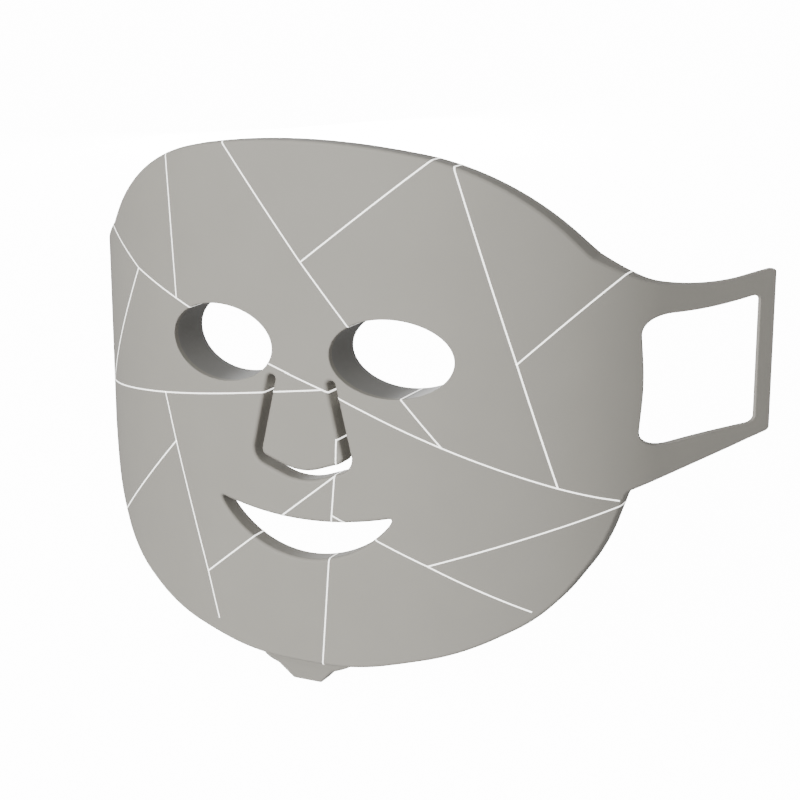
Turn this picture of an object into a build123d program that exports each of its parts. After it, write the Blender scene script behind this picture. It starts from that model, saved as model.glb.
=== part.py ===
from build123d import *
import math
import os

# LED face mask: a curved silicone shell with a circuit board and diodes sealed inside.
# Millimetres. +Z is up, the face of the mask looks along -Y, +X is on the right as seen
# from the front. The origin is on the skin side, on the midline, at the height of the eyes.
#
# The mask is one sheet, bent about vertical axes. Its plan is a chain of tangent arcs that
# ends in a straight run, and its outline and openings are cut straight through along Y.
# "depth" is measured square to the front surface, from that surface towards the skin.
# "station" is the length along the front surface, in plan, from the midline.

# ---- plan of the front surface, from the midline outwards: radius, turn in degrees
PLAN_ARCS = [(280.0, 5.8), (122.0, 29.2), (82.0, 27.6)]

# ---- depths through the sheet
THICKNESS = 7.5
COVER_SKIN = 2.4
BOARD_BACK = 2.8
LINE_DEPTH = 0.5

# ---- stations
FACE_STEP = 114.0
WING_HINGE = 117.5
WING_TIP = 187.5

# ---- widths in the front view
RIM_WALL = 3.0
FLAP_RIM = 2.0
BOARD_MARGIN = 1.0

# ---- eye holes and their collars
EYE_X = 33.0
EYE_HALF_WIDTH = 21.8
EYE_HALF_HEIGHT = 13.65
COLLAR_WALL = 2.0
COLLAR_LENGTH = 19.5
FLANGE_WIDTH = 2.5
FLANGE_BACK = 4.0

# ---- nose slit and flap hinge
SLIT_WIDTH = 3.6
SLIT_TOP = (11.7, -10.8)
SLIT_CORNER = (18.26, -38.98, 4.2)
SLIT_BOTTOM = (0.0, -45.3, 22.0)
FLAP_HINGE_Z = -9.0
FLAP_HINGE_HALF = 9.5
FLAP_KNUCKLE_R = 3.6
FLAP_SOCKET_R = 4.05
FLAP_SOCKET_HALF = SLIT_TOP[0]
HINGE_GAP = 0.35
BROW_WALL = 2.4
BROW_OVERLAP = 2.0

# ---- wing hinge and strap window
WING_KNUCKLE_R = COVER_SKIN / 2
WING_SOCKET_R = WING_KNUCKLE_R + 0.3
WING_END_RADIUS = 3.0
WINDOW_NEAR_X = 107.5
WINDOW_END_STATION = 179.5
WINDOW_BOTTOM = -32.0
WINDOW_TOP = 14.0
WINDOW_NEAR_RADIUS = 7.0
WINDOW_END_RADIUS = 2.5
WINDOW_OVERRUN = 80.0
WINDOW_CUT_DEPTH = 20.0

# ---- mouth, between two arcs
MOUTH_TOP_Z = -60.4
MOUTH_TOP_RADIUS = 134.9
MOUTH_BOTTOM_Z = -74.5
MOUTH_BOTTOM_RADIUS = 42.0
MOUTH_CORNER_X = 34.9
MOUTH_CORNER_RADIUS = 1.3

# ---- chin tab and its socket: the tab's right half in the front view, from the top
# down, as x, z and corner radius
TAB_FRONT_Y = -3.2
TAB_BACK_Y = 2.3
TAB_TOP_Z = -108.0
TAB_BOTTOM_Z = -121.6
TAB_OUTLINE = [
    (9.0, TAB_TOP_Z, 1.0),
    (21.5, -111.2, 0.0),
    (16.5, -115.2, 2.0),
    (10.85, -117.4, 1.0),
    (5.5, TAB_BOTTOM_Z, 0.8),
]
SOCKET_WIDTH = 8.94
SOCKET_HEIGHT = 3.26
SOCKET_LENGTH = 7.3
SOCKET_SHEET = 0.3
SOCKET_CORNER = 0.48 * SOCKET_HEIGHT
CONTACT_COUNT = 12
CONTACT_PITCH = 0.5
CONTACT_SIZE = (0.25, 0.12, 3.6)
TONGUE_SIZE = (6.6, 0.7, 5.2)
TONGUE_BASE = 1.0
TAIL_WIDTH = 6.0
TAIL_SHEET = 0.3
TAIL_PATH = [(-0.45, -114.3), (-0.45, -113.0), (-3.95, -104.0), (-3.95, -101.0)]
TAIL_SLOT_DEPTH = 3.0
TAIL_SIDE_ROOM = 0.5
CLAMP_SIZE = (8.0, 4.0, 1.4)
CLAMP_Z = -99.0
CLAMP_KEEP_CLEAR = (16.0, 10.0)
SLOT_BELOW_TAB = 1.0

# ---- diodes
DIODE_SIZE = (3.0, 3.0, 1.4)
DIODE_PITCH = 15.0
ROW_PITCH = 13.0
ROW_COUNT = 15
COLUMN_COUNT = 8
SOLDER_GAP = 0.05
PLUG_R = 3.0
PLUG_FRONT = 4.5
PLUG_HOLE_EXTRA = 0.1
FLAP_DIODES = [(0.0, -20.5), (-5.5, -33.0), (5.5, -33.0)]
RESISTOR_SIZE = (2.0, 1.2, 0.6)
RESISTOR_EVERY = 5
PART_ROOM = 0.2

# ---- outline of the right half in the front view, from the top of the midline round to
# the bottom: x, z and the radius at that corner. The wing ends are cut off later.
OUTLINE = [
    (0.0, 75.45, 246.0),
    (70.3, 64.1, 80.0),
    (94.6, 34.8, 6.0),
    (116.8, 19.6, 32.0),
    (150.0, 26.35, 0.0),
    (150.0, -32.25, 0.0),
    (104.9, -47.9, 3.0),
    (99.4, -66.6, 60.0),
    (84.5, -89.5, 47.0),
    (57.6, -104.0, 100.0),
    (19.7, -113.5, 100.0),
]

# ---- points joined by the white lines, in the front view
CROWN = (0.8, 31.2)
LEFT_TEMPLE = (-75.0, 21.0)
LEFT_LID = (-53.2, 13.2)
LEFT_EAR = (-102.6, -28.5)
BRIDGE = (8.7, -12.5)
RIGHT_LID = (51.0, -29.6)
RIGHT_TEMPLE = (74.0, -0.3)
RIGHT_CHEEK = (86.6, -43.9)
RIGHT_EAR = (106.0, -51.5)
RIGHT_JAW = (46.5, -72.0)
LEFT_JAW = (-40.8, -86.3)
LEFT_CHEEK = (-55.5, -39.9)
LIP = (11.8, -57.1)
SLIT_FOOT = (13.0, -42.9)

LINE_WIDTH = 0.75
FOREHEAD_LINES = [
    [(-99.0, 35.6), LEFT_TEMPLE, LEFT_LID, (-43.0, 9.5)],
    [(-57.0, 68.0), LEFT_LID],
    [(-33.0, 74.0), CROWN, (22.0, 6.0)],
    [(50.0, 69.6), CROWN],
    [(53.0, 69.5), RIGHT_TEMPLE],
    [(106.0, 31.4), RIGHT_TEMPLE],
]
CHEEK_LINES = [
    [LEFT_TEMPLE, LEFT_EAR, (-60.7, -22.6), BRIDGE],
    [(-17.0, -3.8), BRIDGE, RIGHT_LID, RIGHT_CHEEK, RIGHT_EAR],
    [(34.0, -9.6), RIGHT_LID],
    [RIGHT_TEMPLE, RIGHT_CHEEK],
    [(-60.7, -22.6), LEFT_CHEEK],
]
JAW_LINES = [
    [LEFT_CHEEK, LEFT_JAW, (-36.1, -103.3)],
    [LEFT_CHEEK, (-96.0, -80.4)],
    [SLIT_FOOT, LEFT_JAW],
    [(13.4, -36.0), SLIT_FOOT, LIP, (7.5, -117.0)],
    [LIP, RIGHT_JAW, (79.5, -87.9)],
    [RIGHT_EAR, RIGHT_JAW],
]
FLAP_LINES = [
    [(-17.0, -16.1), BRIDGE, (17.0, -16.1)],
    [(-6.2, -7.6), BRIDGE],
    [(14.6, -27.0), (13.4, -42.0)],
]

TALL = 400.0


# ------------------------------------------------------------------ the curved sheet


def plan_point(station, depth):
    """Point in plan at a station of the front surface and a depth behind it."""
    side = math.copysign(1.0, station)
    left = abs(station)
    x, y, heading = 0.0, -THICKNESS, 0.0
    for radius, turn_degrees in PLAN_ARCS:
        turn = min(left / radius, math.radians(turn_degrees))
        x += radius * (math.sin(heading + turn) - math.sin(heading))
        y += radius * (math.cos(heading) - math.cos(heading + turn))
        heading += turn
        left -= radius * turn
    x += left * math.cos(heading) - depth * math.sin(heading)
    y += left * math.sin(heading) + depth * math.cos(heading)
    return side * x, y


def plan_heading(station):
    """Slope of the front surface in plan, in degrees, positive towards +Y as X grows."""
    left, heading = abs(station), 0.0
    for radius, turn_degrees in PLAN_ARCS:
        turn = min(left / radius, math.radians(turn_degrees))
        heading += math.degrees(turn)
        left -= radius * turn
    return math.copysign(heading, station)


def arc_ends():
    """Stations where one plan arc meets the next, on both sides of the midline."""
    ends, station = [], 0.0
    for radius, turn_degrees in PLAN_ARCS:
        station += radius * math.radians(turn_degrees)
        ends += [station, -station]
    return sorted(ends)


def plan_edges(depth, start, end, shift):
    """Edges of the plan curve at one depth, moved by a shift along Y."""
    stops = [start] + [s for s in arc_ends() if start < s < end] + [end]
    edges = []
    for a, b in zip(stops, stops[1:]):
        points = [plan_point(s, depth) for s in (a, (a + b) / 2, b)]
        points = [(x, y + shift) for x, y in points]
        if abs(a + b) / 2 > arc_ends()[-1]:
            edges.append(Line(points[0], points[2]))
        else:
            edges.append(ThreePointArc(*points))
    return edges


def sheet(front, back, start=-WING_TIP, end=WING_TIP, back_shift=0.0):
    """Tall curved sheet between two depths and two stations."""
    front_edges = plan_edges(front, start, end, 0.0)
    back_edges = plan_edges(back, start, end, back_shift)
    ends = [Line(front_edges[0] @ 0, back_edges[0] @ 0)]
    ends += [Line(front_edges[-1] @ 1, back_edges[-1] @ 1)]
    face = make_face([*front_edges, *back_edges, *ends])
    return extrude(Plane.XY.offset(-TALL / 2) * face, amount=TALL)


def prism(front_view):
    """A front view face, given in X and Z, run straight through along Y."""
    return extrude(Plane.XZ * front_view, amount=TALL / 2, both=True)


def on_sheet(station, z, depth):
    """Place on the sheet, with local +X along it and local +Z pointing to the skin."""
    place = Location((*plan_point(station, depth), z))
    return place * Rotation(0, 0, plan_heading(station)) * Rotation(-90, 0, 0)


# ------------------------------------------------------------------ front view faces


def rounded_face(corners):
    """Closed face from corners given as x, z and the radius there."""
    points = [(x, z) for x, z, _ in corners]
    return make_face(FilletPolyline(*points, radius=[r for *_, r in corners], close=True))


def both_sides(half):
    """Corners of the right half, from the top of the midline down, closed on the left."""
    return half + [(-x, z, r) for x, z, r in reversed(half) if x > 0]


def outline_face():
    return rounded_face(both_sides(OUTLINE))


def face_face():
    """The thick part of the outline, between the two wings."""
    edge = plan_point(FACE_STEP, 0.0)[0]
    return outline_face() & Rectangle(2 * edge, TALL)


def ellipses(grow):
    """Both eye ellipses, grown by a wall or flange width."""
    eye = Ellipse(EYE_HALF_WIDTH + grow, EYE_HALF_HEIGHT + grow)
    return Pos(-EYE_X, 0) * eye + Pos(EYE_X, 0) * eye


def one_ellipse(side, grow):
    return Pos(side * EYE_X, 0) * Ellipse(EYE_HALF_WIDTH + grow, EYE_HALF_HEIGHT + grow)


def mouth_face(grow=0.0):
    """Crescent between a flat upper arc and a deep lower arc."""
    corner_z = MOUTH_TOP_Z + MOUTH_TOP_RADIUS
    corner_z -= math.sqrt(MOUTH_TOP_RADIUS**2 - MOUTH_CORNER_X**2)
    corners = [(-MOUTH_CORNER_X, corner_z), (MOUTH_CORNER_X, corner_z)]
    top = ThreePointArc(corners[0], (0, MOUTH_TOP_Z), corners[1])
    bottom = ThreePointArc(corners[1], (0, MOUTH_BOTTOM_Z), corners[0])
    crescent = make_face([top, bottom])
    crescent = fillet(crescent.vertices(), MOUTH_CORNER_RADIUS)
    return offset(crescent, grow) if grow else crescent


def flap_zone(grow):
    """Face bounded by the slit's middle line, moved outwards by a distance, open to a
    straight top edge at the flap's hinge."""
    (top_x, top_z), (side_x, side_z, side_r) = SLIT_TOP, SLIT_CORNER
    _, foot_z, foot_r = SLIT_BOTTOM
    lean = (side_x - top_x) / (top_z - side_z)
    rise = (side_z - foot_z) / side_x
    side_shift = grow * math.hypot(1, lean)
    foot_shift = grow * math.hypot(1, rise)
    hinge_x = top_x + lean * (top_z - FLAP_HINGE_Z) + side_shift
    corner_x = (hinge_x + lean * (FLAP_HINGE_Z - foot_z + foot_shift)) / (1 + lean * rise)
    corner_z = foot_z - foot_shift + rise * corner_x
    half = [
        (hinge_x, FLAP_HINGE_Z, 0.0),
        (corner_x, corner_z, max(side_r + grow, 0.5)),
        (0.0, foot_z - foot_shift, foot_r + grow),
    ]
    return rounded_face(both_sides(half))


def slit_face():
    """U-shaped slit of even width. Its round ends are squared off towards the flap."""
    band = flap_zone(SLIT_WIDTH / 2) - flap_zone(-SLIT_WIDTH / 2)
    band -= Pos(0, SLIT_TOP[1] + TALL / 2) * Rectangle(TALL, TALL)
    end = Circle(SLIT_WIDTH / 2)
    notch = Rectangle(SLIT_WIDTH, SLIT_WIDTH / 2, align=(Align.MAX, Align.MIN))
    right_end = Pos(*SLIT_TOP) * (end + notch)
    return band + right_end + mirror(right_end, about=Plane.YZ)


def line_faces(lines):
    """White lines as bands of even width round their points."""
    bands = None
    for points in lines:
        for a, b in zip(points, points[1:]):
            run = Vector(*b) - Vector(*a)
            middle = (Vector(*a) + Vector(*b)) * 0.5
            angle = math.degrees(math.atan2(run.Y, run.X))
            band = SlotCenterToCenter(run.length, LINE_WIDTH)
            band = Location((middle.X, middle.Y)) * Rotation(0, 0, angle) * band
            bands = band if bands is None else bands + band
    return bands


# ------------------------------------------------------------------ areas of the shell


def nose_zone(wall):
    """Everything inside the nose slit and its wall, with the wall above the flap hinge."""
    top = FLAP_HINGE_Z + FLAP_SOCKET_R + BROW_WALL + wall - RIM_WALL
    below = FLAP_HINGE_Z - BROW_OVERLAP
    width = 2 * (SLIT_TOP[0] + SLIT_WIDTH / 2 + wall)
    brow = Pos(0, (top + below) / 2) * Rectangle(width, top - below)
    return flap_zone(SLIT_WIDTH / 2 + wall) + brow


def hollow_area():
    """Where the cover is hollow behind its skin and the liner fills it."""
    area = offset(face_face(), -RIM_WALL)
    return area - mouth_face(RIM_WALL) - (nose_zone(RIM_WALL) - ellipses(COLLAR_WALL))


def board_area():
    """Where the circuit board lies: a margin inside the hollow, clear of the collars."""
    area = offset(face_face(), -RIM_WALL - BOARD_MARGIN)
    area -= mouth_face(RIM_WALL + BOARD_MARGIN)
    area -= nose_zone(RIM_WALL + BOARD_MARGIN)
    return area - ellipses(COLLAR_WALL + FLANGE_WIDTH + BOARD_MARGIN / 2)


def flap_inner(wall):
    """The flap's face inside a rim wall, kept clear of the knuckle."""
    top = FLAP_HINGE_Z - FLAP_KNUCKLE_R - wall / 2
    keep = Pos(0, top - TALL / 2) * Rectangle(TALL, TALL)
    return flap_zone(-SLIT_WIDTH / 2 - wall) & keep


def tab_block(grow_back=0.0):
    """The chin tab as a plain block; the back can be moved out to make a cutter."""
    depth = TAB_BACK_Y + grow_back - TAB_FRONT_Y
    face = rounded_face(TAB_OUTLINE + [(-x, z, r) for x, z, r in reversed(TAB_OUTLINE)])
    return extrude(Plane.XZ.offset(-TAB_FRONT_Y) * face, amount=-depth)


def flap_hinge_bar(radius, half_length):
    """Round bar along the nose flap's hinge line."""
    middle = plan_point(0.0, THICKNESS / 2)[1]
    bar = Cylinder(radius, 2 * half_length)
    return Pos(0, middle, FLAP_HINGE_Z) * Rotation(0, 90, 0) * bar


def wing_hinge_bar(side, radius):
    """Tall round bar along a wing's hinge line."""
    x, y = plan_point(side * WING_HINGE, COVER_SKIN / 2)
    return Pos(x, y, 0) * Cylinder(radius, TALL)


# ------------------------------------------------------------------ small parts


def has_room(area, x, z, reach):
    """Whether a square round a point of the front view lies inside an area."""
    corners = [(x + a, z + b) for a in (-reach, reach) for b in (-reach, reach)]
    return all(face.is_inside(Vector(*c, 0)) for c in corners for face in area.faces())


def spots(area, half_step):
    """Grid of places on the board as station and height, staggered row by row."""
    found = []
    for row in range(-ROW_COUNT, ROW_COUNT + 1):
        z = (row + half_step) * ROW_PITCH
        stagger = 0.5 * (row % 2) + half_step
        for column in range(-COLUMN_COUNT, COLUMN_COUNT + 1):
            station = (column + stagger) * DIODE_PITCH
            x = plan_point(station, BOARD_BACK)[0]
            if has_room(area, x, z, DIODE_SIZE[0]):
                found.append((station, z))
    return found


def chips(places, size, grow=0.0):
    """One box on the board at each place, or a slightly larger one as a cutter."""
    width, height, depth = size
    box = Box(width + grow, height + grow, depth + grow, align=(Align.CENTER, Align.CENTER, Align.MIN))
    return [on_sheet(s, z, BOARD_BACK + SOLDER_GAP) * box for s, z in places]


def plugs(places):
    """Round plugs through the liner, one over each diode."""
    layer = sheet(PLUG_FRONT, THICKNESS)
    bar = Cylinder(PLUG_R, THICKNESS)
    return [layer & (on_sheet(s, z, (PLUG_FRONT + THICKNESS) / 2) * bar) for s, z in places]


def plug_holes(places):
    bar = Cylinder(PLUG_R, THICKNESS, align=(Align.CENTER, Align.CENTER, Align.MIN))
    return [on_sheet(s, z, PLUG_FRONT - PLUG_HOLE_EXTRA) * bar for s, z in places]


# ------------------------------------------------------------------ nodes


def make_cover(lines):
    """Front shell: a skin with deep rim walls, hollow towards the wearer."""
    body = sheet(0.0, THICKNESS, -FACE_STEP, FACE_STEP) & prism(face_face())
    body += sheet(0.0, COVER_SKIN, -WING_HINGE, WING_HINGE) & prism(outline_face())
    body -= sheet(COVER_SKIN, 2 * THICKNESS, -FACE_STEP, FACE_STEP) & prism(hollow_area())
    body -= prism(ellipses(0.0) + mouth_face() + slit_face())
    body -= prism(flap_zone(HINGE_GAP - SLIT_WIDTH / 2))
    body -= flap_hinge_bar(FLAP_SOCKET_R, FLAP_SOCKET_HALF)
    body -= wing_hinge_bar(1, WING_SOCKET_R)
    body -= wing_hinge_bar(-1, WING_SOCKET_R)
    body -= tab_block(grow_back=THICKNESS)
    inlays = [body & (sheet(0.0, LINE_DEPTH) & prism(face)) for face in lines]
    for inlay in inlays:
        body -= inlay
    return body, inlays


def make_wing(side):
    """Thin side wing with its strap window and the knuckle of its hinge."""
    start, end = sorted((side * WING_HINGE, side * WING_TIP))
    wing = sheet(0.0, COVER_SKIN, start, end) + wing_hinge_bar(side, WING_KNUCKLE_R)
    wing &= prism(outline_face() & Pos(side * TALL / 2, 0) * Rectangle(TALL, TALL))
    tip_x = abs(plan_point(WING_TIP, COVER_SKIN)[0])
    corners = [e for e in wing.edges() if e.length < 1.2 * COVER_SKIN]
    wing = fillet([e for e in corners if abs(e.center().X) > tip_x - 0.5], WING_END_RADIUS)
    return wing - strap_window(side)


def strap_window(side):
    """Cutter for a strap window: its near edge runs along Y, its end square to the wing."""
    middle_z = (WINDOW_TOP + WINDOW_BOTTOM) / 2
    height = WINDOW_TOP - WINDOW_BOTTOM
    far_x = WINDOW_NEAR_X + WINDOW_OVERRUN
    near = rounded_face([
        (WINDOW_NEAR_X, WINDOW_TOP, WINDOW_NEAR_RADIUS),
        (far_x, WINDOW_TOP, 0.0),
        (far_x, WINDOW_BOTTOM, 0.0),
        (WINDOW_NEAR_X, WINDOW_BOTTOM, WINDOW_NEAR_RADIUS),
    ])
    length = 2 * (WINDOW_END_STATION - WING_HINGE)
    bar = extrude(RectangleRounded(2 * length, height, WINDOW_END_RADIUS), WINDOW_CUT_DEPTH, both=True)
    bar = Pos(-length, 0, 0) * bar
    place = Location((*plan_point(WINDOW_END_STATION, 0.0), middle_z))
    place = place * Rotation(0, 0, plan_heading(WINDOW_END_STATION)) * Rotation(90, 0, 0)
    window = prism(near) & (place * bar)
    return window if side > 0 else mirror(window, about=Plane.YZ)


def make_collar(side):
    """Oval eye shield: a deep wall with a flange held between cover and liner."""
    tube = one_ellipse(side, COLLAR_WALL) - one_ellipse(side, 0.0)
    wall = sheet(COVER_SKIN, 0.0, back_shift=COLLAR_LENGTH) & prism(tube)
    ring = one_ellipse(side, COLLAR_WALL + FLANGE_WIDTH) & hollow_area()
    flange = sheet(COVER_SKIN, FLANGE_BACK) & prism(ring - one_ellipse(side, 0.0))
    return wall + flange


def make_liner(diodes, resistors):
    """Skin-side liner that fills the cover, with pockets for what is on the board."""
    liner = sheet(COVER_SKIN, THICKNESS) & prism(hollow_area() - ellipses(COLLAR_WALL))
    flanges = ellipses(COLLAR_WALL + FLANGE_WIDTH)
    liner -= sheet(0.0, FLANGE_BACK) & prism(flanges)
    liner -= sheet(0.0, BOARD_BACK) & prism(board_area())
    liner -= tab_block(grow_back=THICKNESS)
    slot_top = CLAMP_Z + CLAMP_SIZE[1] / 2 + PART_ROOM
    slot_front = plan_point(0.0, COVER_SKIN)[1]
    slot = Box(
        CLAMP_SIZE[0] + 2 * PART_ROOM,
        TAIL_SLOT_DEPTH,
        slot_top - TAB_TOP_Z + SLOT_BELOW_TAB,
        align=(Align.CENTER, Align.MIN, Align.MAX),
    )
    liner -= Pos(0, slot_front, slot_top) * slot
    liner -= chips(diodes, DIODE_SIZE, 2 * PART_ROOM)
    liner -= chips(resistors, RESISTOR_SIZE, 2 * PART_ROOM)
    return liner - plug_holes(diodes)


def make_flap(line_face):
    """Front half of the nose flap, with the knuckle of its hinge."""
    flap = sheet(0.0, THICKNESS) & prism(flap_zone(-SLIT_WIDTH / 2))
    flap += flap_hinge_bar(FLAP_KNUCKLE_R, FLAP_HINGE_HALF)
    flap -= sheet(COVER_SKIN, 2 * THICKNESS) & prism(flap_inner(FLAP_RIM))
    inlay = flap & (sheet(0.0, LINE_DEPTH) & prism(line_face))
    inlay &= Pos(0, 0, FLAP_HINGE_Z - TALL / 2) * Box(TALL, TALL, TALL)
    return flap - inlay, inlay


def make_flap_liner():
    """Skin-side liner that fills the nose flap."""
    liner = sheet(COVER_SKIN, THICKNESS) & prism(flap_inner(FLAP_RIM))
    liner -= sheet(0.0, BOARD_BACK) & prism(flap_inner(FLAP_RIM + BOARD_MARGIN))
    liner -= chips(FLAP_DIODES, DIODE_SIZE, 2 * PART_ROOM)
    return liner - plug_holes(FLAP_DIODES)


def make_inlet():
    """Chin tab with its socket: housing, steel shell, tongue and contacts."""
    middle_y = (TAB_FRONT_Y + TAB_BACK_Y) / 2
    foot = Location((0, middle_y, TAB_BOTTOM_Z))
    outer = RectangleRounded(SOCKET_WIDTH, SOCKET_HEIGHT, SOCKET_CORNER)
    inner = offset(outer, -SOCKET_SHEET)
    shell = foot * extrude(outer - inner, SOCKET_LENGTH)
    plate = foot * Pos(0, 0, SOCKET_LENGTH - TONGUE_BASE) * extrude(inner, TONGUE_BASE)
    low = (Align.CENTER, Align.CENTER, Align.MAX)
    root = foot * Pos(0, 0, SOCKET_LENGTH - TONGUE_BASE)
    tongue = plate + root * Box(*TONGUE_SIZE, align=low)
    contacts = []
    for face in (-1, 1):
        for number in range(CONTACT_COUNT):
            x = (number - (CONTACT_COUNT - 1) / 2) * CONTACT_PITCH
            y = face * (TONGUE_SIZE[1] + CONTACT_SIZE[1]) / 2
            contacts.append(root * Pos(x, y, 0) * Box(*CONTACT_SIZE, align=low))
    housing = tab_block() - foot * extrude(outer, SOCKET_LENGTH)
    channel_width = TAIL_WIDTH + 2 * TAIL_SIDE_ROOM
    low_back = (Align.CENTER, Align.MAX, Align.MIN)
    channel = Box(channel_width, TAIL_SLOT_DEPTH, TALL, align=low_back)
    channel_back = TAIL_PATH[0][0] + TAIL_SIDE_ROOM
    housing -= Pos(0, channel_back, TAB_BOTTOM_Z + SOCKET_LENGTH) * channel
    return housing, shell, tongue, contacts


def make_tail():
    """Flexible strip from the socket up to the board."""
    half = TAIL_SHEET / 2
    loop = [(y - half, z) for y, z in TAIL_PATH] + [(y + half, z) for y, z in reversed(TAIL_PATH)]
    face = make_face(Polyline(*loop, close=True))
    return extrude(Plane.YZ * face, TAIL_WIDTH / 2, both=True)


def make_clamp():
    """Clamp that joins the strip to the board, on the skin side of the board."""
    box = Box(*CLAMP_SIZE, align=(Align.CENTER, Align.CENTER, Align.MIN))
    return on_sheet(0.0, CLAMP_Z, BOARD_BACK + SOLDER_GAP) * box


def make_all():
    """Every node by name."""
    forehead = line_faces(FOREHEAD_LINES)
    cheek = line_faces(CHEEK_LINES) - forehead
    jaw = line_faces(JAW_LINES) - line_faces(CHEEK_LINES)
    cover, inlays = make_cover([forehead, cheek, jaw])
    flap, flap_inlay = make_flap(line_faces(FLAP_LINES))
    area = board_area()
    keep_clear = Pos(0, CLAMP_Z) * Rectangle(*CLAMP_KEEP_CLEAR)
    diodes = spots(area - keep_clear, 0.0)
    resistors = spots(area - keep_clear, 0.5)[::RESISTOR_EVERY]
    housing, shell, tongue, contacts = make_inlet()
    return {
        "front_cover": cover,
        "left_wing": make_wing(-1),
        "right_wing": make_wing(1),
        "left_eye_shield": make_collar(-1),
        "right_eye_shield": make_collar(1),
        "back_liner": make_liner(diodes, resistors),
        "flex_board": sheet(COVER_SKIN, BOARD_BACK) & prism(area),
        "red_leds": chips(diodes[::2], DIODE_SIZE),
        "infrared_leds": chips(diodes[1::2], DIODE_SIZE),
        "light_windows": plugs(diodes),
        "board_resistors": chips(resistors, RESISTOR_SIZE),
        "board_clamp": make_clamp(),
        "feed_tail": make_tail(),
        "inlet_housing": housing,
        "inlet_shell": shell,
        "inlet_tongue": tongue,
        "inlet_contacts": contacts,
        "forehead_lines": inlays[0],
        "cheek_lines": inlays[1],
        "jaw_lines": inlays[2],
        "nose_flap_cover": flap,
        "nose_flap_liner": make_flap_liner(),
        "nose_flap_board": sheet(COVER_SKIN, BOARD_BACK) & prism(flap_inner(FLAP_RIM + BOARD_MARGIN)),
        "nose_flap_leds": chips(FLAP_DIODES, DIODE_SIZE),
        "nose_flap_windows": plugs(FLAP_DIODES),
        "nose_flap_lines": flap_inlay,
    }


os.makedirs("parts", exist_ok=True)
for name, shape in make_all().items():
    solids = [s for piece in (shape if isinstance(shape, list) else [shape]) for s in piece.solids()]
    export_step(Compound(children=solids), f"parts/{name}.step")
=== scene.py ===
import math

import bmesh
import bpy
import numpy as np
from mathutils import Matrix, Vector, geometry


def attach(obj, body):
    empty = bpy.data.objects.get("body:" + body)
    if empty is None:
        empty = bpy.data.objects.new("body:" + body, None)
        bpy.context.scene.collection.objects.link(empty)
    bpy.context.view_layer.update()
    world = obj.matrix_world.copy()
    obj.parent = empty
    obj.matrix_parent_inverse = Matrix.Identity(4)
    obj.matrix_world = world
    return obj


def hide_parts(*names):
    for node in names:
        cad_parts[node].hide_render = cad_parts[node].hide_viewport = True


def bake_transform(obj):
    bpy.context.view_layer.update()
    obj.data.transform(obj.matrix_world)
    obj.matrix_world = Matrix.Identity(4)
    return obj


# LED face mask. Everything is worked out in millimetres in the CAD frame (+Z up, the front
# looks along -Y, +X to the right as seen from the front) and stored in metres.
# "depth" is measured square to the front surface, "station" along it from the midline.

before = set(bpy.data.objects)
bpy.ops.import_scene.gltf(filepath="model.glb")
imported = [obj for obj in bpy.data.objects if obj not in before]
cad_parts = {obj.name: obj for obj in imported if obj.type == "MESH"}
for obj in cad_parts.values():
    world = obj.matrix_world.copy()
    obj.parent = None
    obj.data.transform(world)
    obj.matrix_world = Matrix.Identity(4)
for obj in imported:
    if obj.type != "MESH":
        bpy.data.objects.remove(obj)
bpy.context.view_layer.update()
MM = 0.001

# ---- the curved sheet, as in the CAD model
PLAN_ARCS = [(280.0, 5.8), (122.0, 29.2), (82.0, 27.6)]
THICKNESS = 7.5
COVER_SKIN = 2.4
BOARD_BACK = 2.8
WING_TIP = 187.5

# ---- where the hollow ends, where the thick face starts to thin out towards the wing, where
# that ends, and where the wing's own skin starts
HOLLOW_END = 109.6
THIN_FROM = 110.2
THIN_TO = 134.0
TIP_THICKNESS = 1.4
WING_SEAM = 115.5
SQUARE_FROM = 160.0
SQUARE_TO = 180.0
WINDOW_SQUARE = 0.6

# ---- rims
RIM_RADIUS = 1.2
RIM_BACK_RADIUS = 0.8
WING_RIM_RADIUS = 0.4
SLIT_RIM_RADIUS = 1.3
SLIT_BACK_RADIUS = 0.15
RIM_STEPS = 5
EYE_RIM_RADIUS = 0.45
RIM_WALL = 3.0
FLAP_RIM = 2.0
HOLLOW_ABOVE_HINGE = 6.5
HOLLOW_BELOW_HINGE = 4.6
LINER_SINK = 0.25

# ---- openings
EYE_X = 33.0
EYE_HALF_WIDTH = 21.8
EYE_HALF_HEIGHT = 13.65
COLLAR_WALL = 2.0
COLLAR_LENGTH = 19.5
SHIELD_OVERLAP = 1.5
SLIT_WIDTH = 3.2
SLIT_TOP = (11.7, -10.8)
SLIT_CORNER = (18.26, -38.98, 4.2)
SLIT_BOTTOM = (0.0, -45.3, 22.0)
FLAP_HINGE_Z = -9.0
MOUTH_TOP_Z = -60.4
MOUTH_TOP_RADIUS = 134.9
MOUTH_BOTTOM_Z = -74.5
MOUTH_BOTTOM_RADIUS = 42.0
MOUTH_CORNER_X = 34.9
MOUTH_CORNER_CUT = 2.6
WINDOW_NEAR_X = 107.5
WINDOW_END_STATION = 179.5
WINDOW_BOTTOM = -32.0
WINDOW_TOP = 14.0
WINDOW_NEAR_RADIUS = 7.0
WINDOW_END_RADIUS = 2.0
WINDOW_TOP_LIFT = 0.9
WINDOW_TOP_SAG = 1.6
WINDOW_LOW_DROP = 1.8
WINDOW_PINCH = 0.9
WING_END_RADIUS = 1.6

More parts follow.
